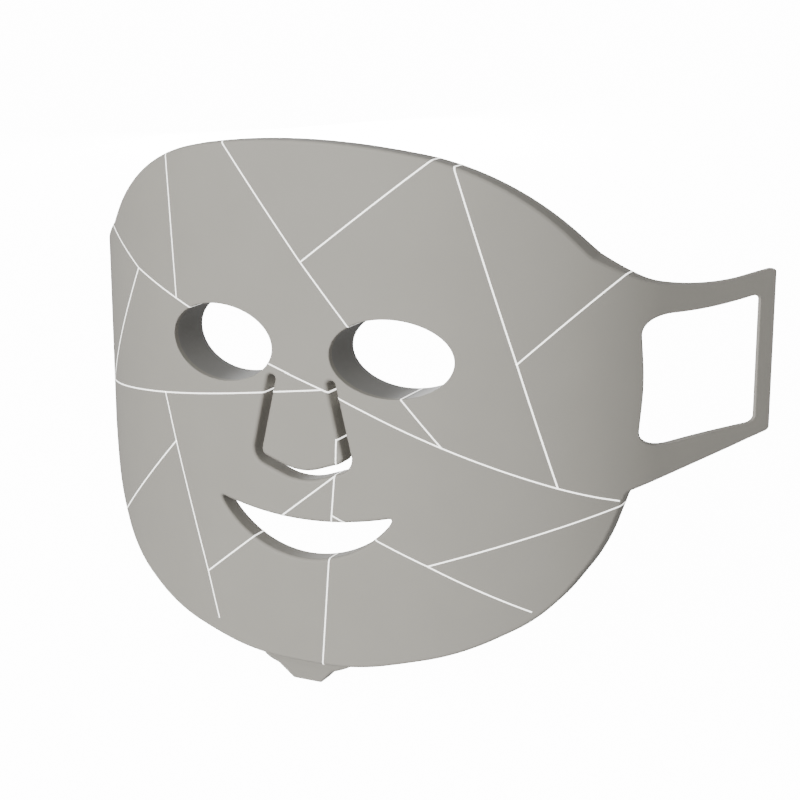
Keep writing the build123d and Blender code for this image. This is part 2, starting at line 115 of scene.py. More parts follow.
# ---- right half of the outline from the top, as x, z and corner radius. The wing's two long
# edges aim at corners past its tip, where outline_loop cuts them off
PAST_TIP = 150.0
OUTLINE = [
    (0.0, 75.45, 246.0),
    (70.3, 64.1, 80.0),
    (94.6, 34.8, 6.0),
    (116.8, 19.6, 32.0),
    (PAST_TIP, 26.35, 0.0),
    (PAST_TIP, -32.25, 0.0),
    (104.9, -47.9, 3.0),
    (99.4, -66.6, 60.0),
    (84.5, -89.5, 47.0),
    (57.6, -104.0, 100.0),
    (19.7, -113.5, 100.0),
]

# ---- points joined by the white lines, in the front view
CROWN = (0.8, 31.2)
LEFT_TEMPLE = (-75.0, 21.0)
LEFT_LID = (-53.2, 13.2)
LEFT_EAR = (-102.6, -28.5)
LEFT_FOLD = (-60.7, -22.6)
BRIDGE = (8.7, -12.5)
RIGHT_LID = (51.0, -29.6)
RIGHT_TEMPLE = (74.0, -0.3)
RIGHT_CHEEK = (86.6, -43.9)
RIGHT_EAR = (106.0, -51.5)
RIGHT_JAW = (46.5, -72.0)
LEFT_JAW = (-40.8, -86.3)
LEFT_CHEEK = (-55.5, -39.9)
LIP = (11.8, -57.1)
SLIT_FOOT = (13.0, -42.9)
LINE_WIDTH = 0.5
LINE_PROUD = 0.06
FOREHEAD_LINES = [
    [(-99.0, 35.6), LEFT_TEMPLE, LEFT_LID, (-43.0, 9.5)],
    [(-57.0, 68.0), LEFT_LID],
    [(-33.0, 74.0), CROWN, (22.0, 6.0)],
    [(50.0, 69.6), CROWN],
    [(53.0, 69.5), RIGHT_TEMPLE],
    [(106.0, 31.4), RIGHT_TEMPLE],
]
CHEEK_LINES = [
    [LEFT_TEMPLE, LEFT_EAR, LEFT_FOLD, BRIDGE],
    [(-17.0, -3.8), BRIDGE, RIGHT_LID, RIGHT_CHEEK, RIGHT_EAR],
    [(34.0, -9.6), RIGHT_LID],
    [RIGHT_TEMPLE, RIGHT_CHEEK],
    [LEFT_FOLD, LEFT_CHEEK],
]
JAW_LINES = [
    [LEFT_CHEEK, LEFT_JAW, (-36.1, -103.3)],
    [LEFT_CHEEK, (-96.0, -80.4)],
    [SLIT_FOOT, LEFT_JAW],
    [(13.4, -36.0), SLIT_FOOT, LIP, (7.5, -117.0)],
    [LIP, RIGHT_JAW, (79.5, -87.9)],
    [RIGHT_EAR, RIGHT_JAW],
]
FLAP_LINES = [
    [(-17.0, -16.1), BRIDGE, (17.0, -16.1)],
    [(-6.2, -7.6), BRIDGE],
    [(13.4, -42.0), (13.75, -29.7), (16.5, -29.0)],
]


# ------------------------------------------------------------------ the curved sheet


def plan(station):
    """x, y and heading of the front surface at stations on the right half."""
    left = np.array(station, float)
    x = np.zeros_like(left)
    y = np.full_like(left, -THICKNESS)
    heading = np.zeros_like(left)
    for radius, turn_degrees in PLAN_ARCS:
        turn = np.minimum(left / radius, math.radians(turn_degrees))
        x += radius * (np.sin(heading + turn) - np.sin(heading))
        y += radius * (np.cos(heading) - np.cos(heading + turn))
        heading = heading + turn
        left = left - radius * turn
    return x + left * np.cos(heading), y + left * np.sin(heading), heading


STATIONS = np.arange(0.0, 200.0, 0.2)
PLAN_X, PLAN_Y, PLAN_HEADING = plan(STATIONS)


def smooth(value, start, end):
    """0 before start, 1 after end, and a smooth step between."""
    t = np.clip((value - start) / (end - start), 0.0, 1.0)
    return t * t * (3.0 - 2.0 * t)


class Surface:
    """A surface at a depth behind the front, looked up by x in the front view."""

    def __init__(self, depth, facing):
        self.depth = depth + 0.0 * STATIONS
        self.x = PLAN_X - self.depth * np.sin(PLAN_HEADING)
        self.y = PLAN_Y + self.depth * np.cos(PLAN_HEADING)
        self.facing = facing

    def heading(self, x):
        return np.interp(np.abs(x), self.x, PLAN_HEADING)

    def points(self, flat):
        """Places on the surface for points of the front view."""
        y = np.interp(np.abs(flat[:, 0]), self.x, self.y)
        return np.column_stack((flat[:, 0], y, flat[:, 1]))

    def normals(self, flat):
        heading = self.heading(flat[:, 0])
        sideways = np.sin(heading) * np.sign(flat[:, 0])
        out = np.column_stack((sideways, -np.cos(heading), 0.0 * heading))
        return out * self.facing


THINNING = 1.0 - (1.0 - np.clip((STATIONS - THIN_FROM) / (THIN_TO - THIN_FROM), 0.0, 1.0))**2
DEPTHS = THICKNESS + (COVER_SKIN - THICKNESS) * THINNING
DEPTHS = DEPTHS + (TIP_THICKNESS - COVER_SKIN) * smooth(STATIONS, THIN_TO, WING_TIP)
FRONT = Surface(0.0, 1.0)
FLOOR = Surface(COVER_SKIN, -1.0)
BACK = Surface(DEPTHS, -1.0)
LINER_BACK = Surface(THICKNESS - LINER_SINK, -1.0)


def x_at(station):
    return float(plan(station)[0])


# ------------------------------------------------------------------ front view loops


def rounded(corners, closed=True, step=1.2):
    """Points round corners given as x, z and radius."""
    points = []
    count = len(corners)
    for number, (x, z, radius) in enumerate(corners):
        here = np.array((x, z))
        if radius == 0.0:
            points.append(here)
            continue
        before = np.array(corners[number - 1][:2]) - here
        after = np.array(corners[(number + 1) % count][:2]) - here
        before /= np.linalg.norm(before)
        after /= np.linalg.norm(after)
        half = math.acos(np.clip(-before @ after, -1.0, 1.0)) / 2
        middle = before + after
        centre = here + middle / np.linalg.norm(middle) * radius / math.cos(half)
        arm = here + before * radius * math.tan(half) - centre
        side = math.copysign(1.0, after[0] * before[1] - after[1] * before[0])
        pieces = max(5, math.ceil(2 * half * radius / step))
        for k in range(pieces + 1):
            a = side * 2 * half * k / pieces
            turned = (arm[0] * math.cos(a) - arm[1] * math.sin(a),
                      arm[0] * math.sin(a) + arm[1] * math.cos(a))
            points.append(centre + turned)
    return densify(np.array(points), closed)


def densify(points, closed, step=2.0):
    """The same line with long runs divided, measured along the curved sheet."""
    result = []
    ends = np.roll(points, -1, axis=0) if closed else points[1:]
    for a, b in zip(points, ends):
        slope = FRONT.heading((a[0] + b[0]) / 2)
        length = math.hypot((b[0] - a[0]) / math.cos(slope), b[1] - a[1])
        if length < 1e-6:
            continue
        pieces = max(1, math.ceil(length / step))
        result += [a + (b - a) * k / pieces for k in range(pieces)]
    if not closed:
        result.append(points[-1])
    return np.array(result)


def both_sides(half):
    return half + [(-x, z, r) for x, z, r in reversed(half) if x > 0]


def area_of(loop):
    x, z = loop[:, 0], loop[:, 1]
    return 0.5 * float(np.sum(x * np.roll(z, -1) - np.roll(x, -1) * z))


def oriented(loop, hole):
    """The loop turned so that the material is on its left."""
    return loop[::-1].copy() if (area_of(loop) > 0) == hole else loop


def line_z(a, b, x):
    return a[1] + (b[1] - a[1]) * (x - a[0]) / (b[0] - a[0])


def outline_loop():
    """The whole outline, with the wings cut off square at their tips."""
    tip = x_at(WING_TIP)
    corners = []
    for here, after in zip(OUTLINE, OUTLINE[1:] + [None]):
        before = corners[-1] if corners else None
        if here[0] == PAST_TIP:
            other = before if here[1] > 0 else after
            corners.append((tip, line_z(other, here, tip), WING_END_RADIUS))
        else:
            corners.append(here)
    loop = rounded(both_sides(corners))
    return oriented(with_crossings(loop, x_at(WING_SEAM)), hole=False)


def with_crossings(loop, level):
    """The loop with a point put in wherever it crosses x = level or x = -level."""
    result = []
    for a, b in zip(loop, np.roll(loop, -1, axis=0)):
        result.append(a)
        for x in (level, -level):
            if (a[0] - x) * (b[0] - x) < 0:
                share = (x - a[0]) / (b[0] - a[0])
                result.append(np.array((x, a[1] + share * (b[1] - a[1]))))
    return np.array(result)


def ellipse_loop(side, grow=0.0, count=112):
    angles = np.linspace(0.0, 2 * math.pi, count, endpoint=False)
    x = side * EYE_X + (EYE_HALF_WIDTH + grow) * np.cos(angles)
    return np.column_stack((x, (EYE_HALF_HEIGHT + grow) * np.sin(angles)))


def mouth_loop():
    """Crescent between a flat upper arc and a deep lower one, with small round tips."""
    top_centre = MOUTH_TOP_Z + MOUTH_TOP_RADIUS
    low_centre = MOUTH_BOTTOM_Z + MOUTH_BOTTOM_RADIUS
    reach = MOUTH_CORNER_X - MOUTH_CORNER_CUT
    across = np.linspace(-reach, reach, 44)
    upper = top_centre - np.sqrt(MOUTH_TOP_RADIUS**2 - across**2)
    turn = np.linspace(-math.asin(reach / MOUTH_BOTTOM_RADIUS),
                       math.asin(reach / MOUTH_BOTTOM_RADIUS), 56)
    low_x = MOUTH_BOTTOM_RADIUS * np.sin(turn)
    low_z = low_centre - MOUTH_BOTTOM_RADIUS * np.cos(turn)
    tip_z = top_centre - math.sqrt(MOUTH_TOP_RADIUS**2 - MOUTH_CORNER_X**2)
    tip = np.array((MOUTH_CORNER_X, tip_z))
    start = np.array((low_x[-1], low_z[-1]))
    end = np.array((across[-1], upper[-1]))
    share = np.linspace(0.0, 1.0, 9)[1:-1, None]
    right = (1 - share)**2 * start + 2 * share * (1 - share) * tip + share**2 * end
    left = right[::-1] * (-1.0, 1.0)
    lower = np.column_stack((low_x, low_z))
    top = np.column_stack((across, upper))[::-1]
    return np.vstack((lower, right, top, left))


def slit_chain(side):
    """One edge of the nose slit, from its right tip round to its left tip.
    side is 1 for the cheek's edge and -1 for the flap's."""
    (top_x, top_z), (side_x, side_z, side_r) = SLIT_TOP, SLIT_CORNER
    _, foot_z, foot_r = SLIT_BOTTOM
    grow = side * SLIT_WIDTH / 2
    lean = (side_x - top_x) / (top_z - side_z)
    rise = (side_z - foot_z) / side_x
    length = math.hypot(1.0, lean)
    up = np.array((-lean, 1.0)) / length
    out = side * np.array((1.0, lean)) / length
    radius = SLIT_WIDTH / 2
    cap = [np.array(SLIT_TOP) + radius * (math.cos(a) * up + math.sin(a) * out)
           for a in np.linspace(0.0, math.pi / 2, 7)]
    foot_shift = grow * math.hypot(1.0, rise)
    line_x = top_x + lean * top_z + grow * length
    corner_x = (line_x - lean * (foot_z - foot_shift)) / (1 + lean * rise)
    corner = (corner_x, foot_z - foot_shift + rise * corner_x, max(side_r + grow, 0.5))
    foot = (0.0, foot_z - foot_shift, foot_r + grow)
    start = (*cap[-1], 0.0)
    end = (-start[0], start[1], 0.0)
    mirrored = (-corner[0], corner[1], corner[2])
    run = rounded([start, corner, foot, mirrored, end], closed=False)
    cap = np.array(cap[:-1])
    return np.vstack((cap, run, cap[::-1] * (-1.0, 1.0)))


def window_loop(side):
    """Strap window, with wide corners by the face and tight ones at the wing's end."""
    end_x = x_at(WINDOW_END_STATION)
    loop = rounded([
        (WINDOW_NEAR_X, WINDOW_TOP, WINDOW_NEAR_RADIUS),
        (end_x, WINDOW_TOP, WINDOW_END_RADIUS),
        (end_x, WINDOW_BOTTOM, WINDOW_END_RADIUS),
        (WINDOW_NEAR_X, WINDOW_BOTTOM, WINDOW_NEAR_RADIUS),
    ])
    along = (loop[:, 0] - WINDOW_NEAR_X) / (end_x - WINDOW_NEAR_X)
    height = (loop[:, 1] - WINDOW_BOTTOM) / (WINDOW_TOP - WINDOW_BOTTOM)
    sag = WINDOW_TOP_LIFT * along - WINDOW_TOP_SAG * np.sin(math.pi * along)
    drop = WINDOW_LOW_DROP * (1 - along)**2
    pinch = WINDOW_PINCH * np.sin(math.pi * height)**2 * (1 - along)**3
    loop[:, 1] += sag * height - drop * (1 - height)
    loop[:, 0] += pinch
    return loop * (side, 1.0)


def inside(loop, points):
    """Whether each point of the front view lies inside a closed loop."""
    result = np.zeros(len(points), bool)
    x, z = points[:, 0], points[:, 1]
    for (ax, az), (bx, bz) in zip(loop, np.roll(loop, -1, axis=0)):
        if az == bz:
            continue
        crosses = (az > z) != (bz > z)
        result ^= crosses & (x < ax + (bx - ax) * (z - az) / (bz - az))
    return result


# ------------------------------------------------------------------ mesh building


def inward(loop, surface):
    """For each point of a loop, the step of the front view that goes one millimetre into
    the material along the sheet, and the outward direction in the front view."""
    run = np.roll(loop, -1, axis=0) - np.roll(loop, 1, axis=0)
    slope = np.cos(surface.heading(loop[:, 0]))
    along = np.column_stack((run[:, 0] / slope, run[:, 1]))
    along /= np.linalg.norm(along, axis=1)[:, None]
    step = np.column_stack((-along[:, 1] * slope, along[:, 0]))
    out = np.column_stack((run[:, 1], -run[:, 0]))
    return step, out / np.linalg.norm(out, axis=1)[:, None]


def unit(vectors):
    return vectors / np.linalg.norm(vectors, axis=1)[:, None]


class Rim:
    """Rounded edge, wall and rounded edge from the front surface to a surface behind."""

    def __init__(self, loop, back, radius=RIM_RADIUS, back_radius=RIM_BACK_RADIUS, square_least=0.0):
        heading = FRONT.heading(loop[:, 0])
        station = np.interp(np.abs(loop[:, 0]), FRONT.x, STATIONS)
        square = np.maximum(square_least, smooth(station, SQUARE_FROM, SQUARE_TO))
        depth = np.interp(station, STATIONS, back.depth)
        shift = square * depth * np.sin(heading) * np.sign(loop[:, 0])
        slim = smooth(station, THIN_FROM, THIN_TO)[:, None]
        has_back = bool(back_radius)
        radius = radius + (min(radius, WING_RIM_RADIUS) - radius) * slim
        back_radius = back_radius + (min(back_radius, WING_RIM_RADIUS) - back_radius) * slim
        behind = loop - np.column_stack((shift, 0.0 * shift))
        wall = unit(back.points(behind) - FRONT.points(loop))
        step, out = inward(loop, FRONT)
        back_step, _ = inward(behind, back)
        out = np.column_stack((out[:, 0], 0.0 * out[:, 0], out[:, 1]))
        out = unit(out - np.sum(out * wall, axis=1)[:, None] * wall)
        self.rings, self.normals = [], []
        for k in range(RIM_STEPS + 1):
            angle = k * math.pi / 2 / RIM_STEPS
            flat = loop + step * radius * (1 - math.sin(angle))
            sunk = wall * radius * (1 - math.cos(angle))
            self.rings.append(FRONT.points(flat) + sunk)
            face = FRONT.normals(flat)
            self.normals.append(unit(math.cos(angle) * face + math.sin(angle) * out))
        for k in reversed(range(RIM_STEPS + 1) if has_back else [RIM_STEPS]):
            angle = k * math.pi / 2 / RIM_STEPS
            flat = behind + back_step * back_radius * (1 - math.sin(angle))
            sunk = wall * back_radius * (1 - math.cos(angle))
            self.rings.append(back.points(flat) - sunk)
            face = back.normals(flat)
            self.normals.append(unit(math.cos(angle) * face + math.sin(angle) * out))


class Shell:
    """A mesh being built, in millimetres, with a normal for each point."""

    def __init__(self):
        self.points, self.normals, self.faces = [], [], []

    def add(self, points, normals):
        first = len(self.points)
        self.points += [tuple(p) for p in points]
        self.normals += [tuple(n) for n in normals]
        return np.arange(first, first + len(points))

    def add_rim(self, rim):
        """Point numbers as rows of rings; columns run along the loop."""
        return np.array([self.add(p, n) for p, n in zip(rim.rings, rim.normals)])

    def skin_rim(self, grid, columns):
        """Quads along some consecutive columns of a rim."""
        for a, b in zip(columns, columns[1:]):
            for upper, lower in zip(grid, grid[1:]):
                self.faces.append((upper[a], lower[a], lower[b], upper[b]))

    def flat(self, numbers):
        return np.array([self.points[i] for i in numbers])[:, (0, 2)]

    def fill(self, edges, surface, keep, extra=(), spacing=3.2):
        """Triangles on a surface between edges of known points. extra loops are drawn in
        as well, and keep says which parts of the front view to fill."""
        numbers = sorted({i for edge in edges for i in edge})
        places = {number: k for k, number in enumerate(numbers)}
        flat = [*self.flat(numbers)]
        lines = [(places[a], places[b]) for a, b in edges]
        for loop in extra:
            first = len(flat)
            flat += [*loop]
            count = len(loop)
            lines += [(first + k, first + (k + 1) % count) for k in range(count)]
        grid = grid_points(np.array(flat), spacing)
        grid = grid[keep(grid)]
        vectors = [Vector(p) for p in flat] + [Vector(p) for p in grid]
        cut = geometry.delaunay_2d_cdt(vectors, lines, [], 0, 1e-5, True)
        where = np.array([(v.x, v.y) for v in cut[0]])
        triangles = np.array([tuple(f) for f in cut[2]])
        triangles = triangles[keep(where[triangles].mean(axis=1))]
        known = {}
        for number, sources in enumerate(cut[3]):
            for source in sources:
                if source < len(numbers):
                    known[number] = numbers[source]
        fresh = sorted({i for i in triangles.ravel() if i not in known})
        made = self.add(surface.points(where[fresh]), surface.normals(where[fresh]))
        known.update(zip(fresh, made))
        order = (0, 1, 2) if surface.facing > 0 else (0, 2, 1)
        faces = [tuple(known[t[k]] for k in order) for t in triangles]
        self.faces += faces
        return faces

    def facing_out(self):
        """The faces, each turned to face the way its points' normals do."""
        points, normals = np.array(self.points), np.array(self.normals)
        turned = []
        for face in self.faces:
            ids = [int(i) for i in face]
            a, b, c = points[ids[0]], points[ids[1]], points[ids[2]]
            across = np.cross(c - a, points[ids[-1]] - b if len(ids) > 3 else c - b)
            out = normals[ids].sum(axis=0)
            wrong = across @ out < -1e-9 if len(ids) > 3 else np.cross(b - a, c - a) @ out < -1e-9
            turned.append(tuple(reversed(ids)) if wrong else tuple(ids))
        return turned

    def make(self, name):
        mesh = bpy.data.meshes.new(name)
        scaled = [(x * MM, y * MM, z * MM) for x, y, z in self.points]
        mesh.from_pydata(scaled, [], self.facing_out())
        mesh.shade_smooth()
        mesh.normals_split_custom_set_from_vertices(self.normals)
        piece = bpy.data.objects.new(name, mesh)
        bpy.context.collection.objects.link(piece)
        return piece


def grid_points(flat, spacing):
    """Staggered points over the box of some others, not too close to any of them."""
    low, high = flat.min(axis=0), flat.max(axis=0)
    rows = np.arange(low[1] + spacing / 2, high[1], spacing * 0.866)
    points = []
    for number, z in enumerate(rows):
        start = low[0] + spacing * (0.25 + 0.5 * (number % 2))
        points += [(x, z) for x in np.arange(start, high[0], spacing)]
    points = np.array(points)
    nearest = np.full(len(points), np.inf)
    for part in np.array_split(flat, max(1, len(flat) // 200)):
        gaps = np.linalg.norm(points[:, None, :] - part[None, :, :], axis=2)
        nearest = np.minimum(nearest, gaps.min(axis=1))
    return points[nearest > 0.6 * spacing]


def pairs(numbers, closed=False):
    numbers = list(numbers)
    after = numbers[1:] + numbers[:1] if closed else numbers[1:]
    return list(zip(numbers, after))


def open_edges(faces):
    """Directed edges used by one face only."""
    directed = [(a, b) for f in faces for a, b in zip(f, f[1:] + f[:1])]
    reverse = {(b, a) for a, b in directed}
    return [edge for edge in directed if edge not in reverse]


def walls_to(shell, faces, edges, surface):
    """Walls to another surface from the free edges of some faces, leaving out the given
    edges. Returns the edges of the walls' feet."""
    known = {frozenset(edge) for edge in edges}
    lips = [edge for edge in open_edges(faces) if frozenset(edge) not in known]
    foot = {}
    for number in sorted({i for edge in lips for i in edge}):
        flat = shell.flat([number])
        foot[number] = int(shell.add(surface.points(flat), surface.normals(flat))[0])
    for a, b in lips:
        shell.faces.append((b, a, foot[a], foot[b]))
    return [(foot[a], foot[b]) for a, b in lips]


def join_rings(shell, rings):
    """Quads between closed rings, each given as its points and their normals."""
    grid = [shell.add(points, normals) for points, normals in rings]
    for upper, lower in zip(grid, grid[1:]):
        for a, b in pairs(range(len(upper)), closed=True):
            shell.faces.append((upper[a], upper[b], lower[b], lower[a]))
    return grid


def side_name(side):
    return "left" if side < 0 else "right"


def keep_between(*loops):
    """Inside an odd number of loops: inside the first and outside its holes."""
    def keep(points):
        result = np.zeros(len(points), bool)
        for loop in loops:
            result ^= inside(loop, points)
        return result
    return keep


def seam(shell, grid, start, end, surface, row, spacing=2.5):
    """Points of a seam across the sheet, from one column of a rim to another."""
    a, b = grid[row][start], grid[row][end]
    ends = shell.flat([a, b])
    count = max(2, math.ceil(np.linalg.norm(ends[1] - ends[0]) / spacing))
    flat = np.array([ends[0] + (ends[1] - ends[0]) * k / count for k in range(1, count)])
    made = shell.add(surface.points(flat), surface.normals(flat))
    return [a, *made, b]


def cap(shell, grid, start, end, front, back, outward):
    """Close a seam's cut face; outward is 1 or -1 for the way round."""
    quads = [(a, b, d, c) for a, b, c, d in zip(front, front[1:], back, back[1:])]
    ends = [tuple(grid[:, start]), tuple(grid[::-1, end])]
    for face in quads + ends:
        shell.faces.append(face if outward > 0 else face[::-1])


# ------------------------------------------------------------------ the loops in use

OUTLINE_LOOP = outline_loop()
MOUTH_LOOP = oriented(mouth_loop(), hole=True)
CHEEK_CHAIN = slit_chain(1)
FLAP_CHAIN = slit_chain(-1)
SLIT_LOOP = np.vstack((CHEEK_CHAIN, FLAP_CHAIN[::-1][1:-1]))
SLIT_LOOP = oriented(SLIT_LOOP, hole=True)


def slit_columns():
    """Column numbers of the cheek's edge and of the flap's edge, each from the first tip
    it meets to the other, going the loop's own way."""
    tips = [int(np.argmin(np.linalg.norm(SLIT_LOOP - tip, axis=1)))
            for tip in (CHEEK_CHAIN[0], CHEEK_CHAIN[-1])]
    count = len(SLIT_LOOP)
    one = walk(tips[0], tips[1], count)
    two = walk(tips[1], tips[0], count)
    lowest = [SLIT_LOOP[w][:, 1].min() for w in (one, two)]
    return (one, two) if lowest[0] < lowest[1] else (two, one)


def walk(start, end, count):
    """Column numbers from start to end, going forward round a loop."""
    steps = (end - start) % count
    return [(start + k) % count for k in range(steps + 1)]


def wall_loop(loop, distance):
    """A loop moved into the material by a wall's width."""
    step, _ = inward(loop, FRONT)
    return loop + step * distance


def face_hollow_loops():
    """Loops of the hollow behind the cover, and a test for being in it."""
    limit = x_at(HOLLOW_END)
    outer = wall_loop(OUTLINE_LOOP, RIM_WALL)
    outer = with_crossings(outer, limit)
    outer = outer[np.abs(outer[:, 0]) <= limit + 1e-6]
    outer = densify(outer, True, 3.0)
    mouth = wall_loop(MOUTH_LOOP, RIM_WALL)
    cheek, _ = slit_columns()
    nose = wall_loop(SLIT_LOOP, RIM_WALL)[cheek]
    top = FLAP_HINGE_Z + HOLLOW_ABOVE_HINGE
    nose = np.vstack((nose, [(nose[-1][0], top), (nose[0][0], top)]))
    nose = densify(nose, True, 3.0)
    collars = [ellipse_loop(side, COLLAR_WALL) for side in (-1, 1)]

    def in_hollow(points):
        nose_free = ~inside(nose, points)
        for collar in collars:
            nose_free |= inside(collar, points)
        return inside(outer, points) & ~inside(mouth, points) & nose_free

    return [outer, mouth, nose, *collars], in_hollow


def flap_hollow_loops():
    """The same for the nose flap."""
    _, flap = slit_columns()
    loop = wall_loop(SLIT_LOOP, FLAP_RIM)[flap]
    top = FLAP_HINGE_Z - HOLLOW_BELOW_HINGE
    rim = loop[loop[:, 1] < top]
    first = rim[0] + (0.0, top - rim[0][1])
    last = rim[-1] + (0.0, top - rim[-1][1])
    loop = densify(np.vstack((first, rim, last)), True, 2.0)
    return [loop], lambda points: inside(loop, points)


# ------------------------------------------------------------------ covers and wings


def hollow_out(shell, edges, keep, hollow_loops, in_hollow, eye_rims):
    """Back surface with a hollow: a band round it, walls into it and the skin's floor."""
    band = shell.fill(edges, BACK, lambda p: keep(p) & ~in_hollow(p), hollow_loops)
    floor_edges = walls_to(shell, band, edges, FLOOR)
    holes = []
    for grid in eye_rims:
        floor_edges += pairs(grid[-1], closed=True)
        holes.append(shell.flat(grid[-1]))

    def keep_floor(points):
        result = in_hollow(points)
        for hole in holes:
            result &= ~inside(hole, points)
        return result

    shell.fill(floor_edges, FLOOR, keep_floor)


def make_face_cover():
    """Front cover: the thick face between the wings, hollow towards the wearer."""
    shell = Shell()
    outline = shell.add_rim(Rim(OUTLINE_LOOP, BACK))
    mouth = shell.add_rim(Rim(MOUTH_LOOP, BACK, SLIT_RIM_RADIUS, SLIT_BACK_RADIUS))
    slit = shell.add_rim(Rim(SLIT_LOOP, BACK, SLIT_RIM_RADIUS, SLIT_BACK_RADIUS))
    eyes = []
    for side in (-1, 1):
        loop = oriented(ellipse_loop(side), hole=True)
        rim = Rim(loop, FLOOR, EYE_RIM_RADIUS, 0.0)
        eyes.append(shell.add_rim(rim))
    corners = seam_columns()
    count = len(OUTLINE_LOOP)
    top = walk(corners["right_top"], corners["left_top"], count)
    bottom = walk(corners["left_bottom"], corners["right_bottom"], count)
    cheek, _ = slit_columns()
    for columns in (top, bottom):
        shell.skin_rim(outline, columns)
    shell.skin_rim(slit, cheek)
    for grid in (mouth, *eyes):
        shell.skin_rim(grid, [*range(grid.shape[1]), 0])
    left = (corners["left_top"], corners["left_bottom"])
    right = (corners["right_bottom"], corners["right_top"])
    across = (cheek[-1], cheek[0])
    for surface, row in ((FRONT, 0), (BACK, -1)):
        left_seam = seam(shell, outline, *left, surface, row)
        right_seam = seam(shell, outline, *right, surface, row)
        nose_seam = seam(shell, slit, *across, surface, row)
        outer = [*outline[row][top], *left_seam[1:-1], *outline[row][bottom]]
        outer += right_seam[1:-1]
        nose = [*slit[row][cheek], *nose_seam[1:-1]]
        loops = [outer, nose, list(mouth[row])]
        if row == 0:
            fronts = (left_seam, right_seam, nose_seam)
            loops += [list(grid[0]) for grid in eyes]
        edges = [pair for loop in loops for pair in pairs(loop, closed=True)]
        keep = keep_between(*[shell.flat(loop) for loop in loops])
        if row == 0:
            shell.fill(edges, FRONT, keep)
        else:
            hollow_out(shell, edges, keep, *face_hollow_loops(), eyes)
            backs = (left_seam, right_seam, nose_seam)
    for grid, ends, a, b in zip((outline, outline, slit), (left, right, across), fronts, backs):
        cap(shell, grid, *ends, a, b, -1)
    return shell.make("front_cover_skin")


def seam_columns():
    """Where the outline crosses the two wing seams, as column numbers."""
    level = x_at(WING_SEAM)
    found = {}
    for number, (x, z) in enumerate(OUTLINE_LOOP):
        if abs(abs(x) - level) < 1e-9:
            name = ("right_" if x > 0 else "left_") + ("top" if z > 0 else "bottom")
            found[name] = number
    return found


def make_wing(side):
    """Side wing, from the seam at the edge of the face to its tip."""
    shell = Shell()
    outline = shell.add_rim(Rim(OUTLINE_LOOP, BACK))
    hole = oriented(window_loop(side), hole=True)
    window = shell.add_rim(Rim(hole, BACK, square_least=WINDOW_SQUARE))
    corners = seam_columns()
    if side > 0:
        ends = (corners["right_bottom"], corners["right_top"])
    else:
        ends = (corners["left_top"], corners["left_bottom"])
    columns = walk(*ends, len(OUTLINE_LOOP))
    shell.skin_rim(outline, columns)
    shell.skin_rim(window, [*range(window.shape[1]), 0])
    seams = []
    for surface, row in ((FRONT, 0), (BACK, -1)):
        joint = seam(shell, outline, ends[1], ends[0], surface, row)
        seams.append(joint)
        loops = [[*outline[row][columns], *joint[1:-1]], list(window[row])]
        edges = [pair for loop in loops for pair in pairs(loop, closed=True)]
        keep = keep_between(*[shell.flat(loop) for loop in loops])
        shell.fill(edges, surface, keep, spacing=2.0)
    cap(shell, outline, ends[1], ends[0], *seams, -1)
    tidy(shell)
    return shell.make(side_name(side) + "_wing_skin")


def tidy(shell):
    """Drop the points that no face uses."""
    used = sorted({int(i) for face in shell.faces for i in face})
    places = {number: k for k, number in enumerate(used)}
    shell.points = [shell.points[i] for i in used]
    shell.normals = [shell.normals[i] for i in used]
    shell.faces = [tuple(places[int(i)] for i in face) for face in shell.faces]


def make_flap_cover():
    """Front half of the nose flap, from the seam above the slit's tips."""
    shell = Shell()
    slit = shell.add_rim(Rim(SLIT_LOOP, BACK, SLIT_RIM_RADIUS, SLIT_BACK_RADIUS))
    _, flap = slit_columns()
    shell.skin_rim(slit, flap)
    ends = (flap[-1], flap[0])
    seams = []
    for surface, row in ((FRONT, 0), (BACK, -1)):
        joint = seam(shell, slit, *ends, surface, row)
        seams.append(joint)
        loop = [*slit[row][flap], *joint[1:-1]]
        edges = pairs(loop, closed=True)
        keep = keep_between(shell.flat(loop))
        if row == 0:
            shell.fill(edges, surface, keep, spacing=1.8)
        else:
            hollow_out(shell, edges, keep, *flap_hollow_loops(), [])
    cap(shell, slit, *ends, *seams, -1)
    tidy(shell)
    return shell.make("nose_flap_skin")


# ------------------------------------------------------------------ liners and windows

WELL_RADIUS = 3.0
WELL_LIP = 0.35
WELL_FLOOR = 4.4
PLUG_RADIUS = 2.95
PLUG_FRONT = 4.5
DOME_EDGE = 6.9
DOME_TOP = 7.2
ROUND_STEPS = 28
CHIP_REACH = 5.0
CHIP_MIDDLE = 0.75
SKIRT_DEPTH = 4.0


def chip_centres(node):
    """Front-view places of the chips in a CAD node."""
    groups = []
    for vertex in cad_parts[node].data.vertices:
        place = vertex.co / MM
        near = [g for g in groups if (g[0] - place).length < CHIP_REACH]
        if near:
            near[0].append(place)
        else:
            groups.append([place])
    corners = [np.array([tuple(p) for p in group]) for group in groups]
    return [(c.min(axis=0) + c.max(axis=0)) / 2 for c in corners]


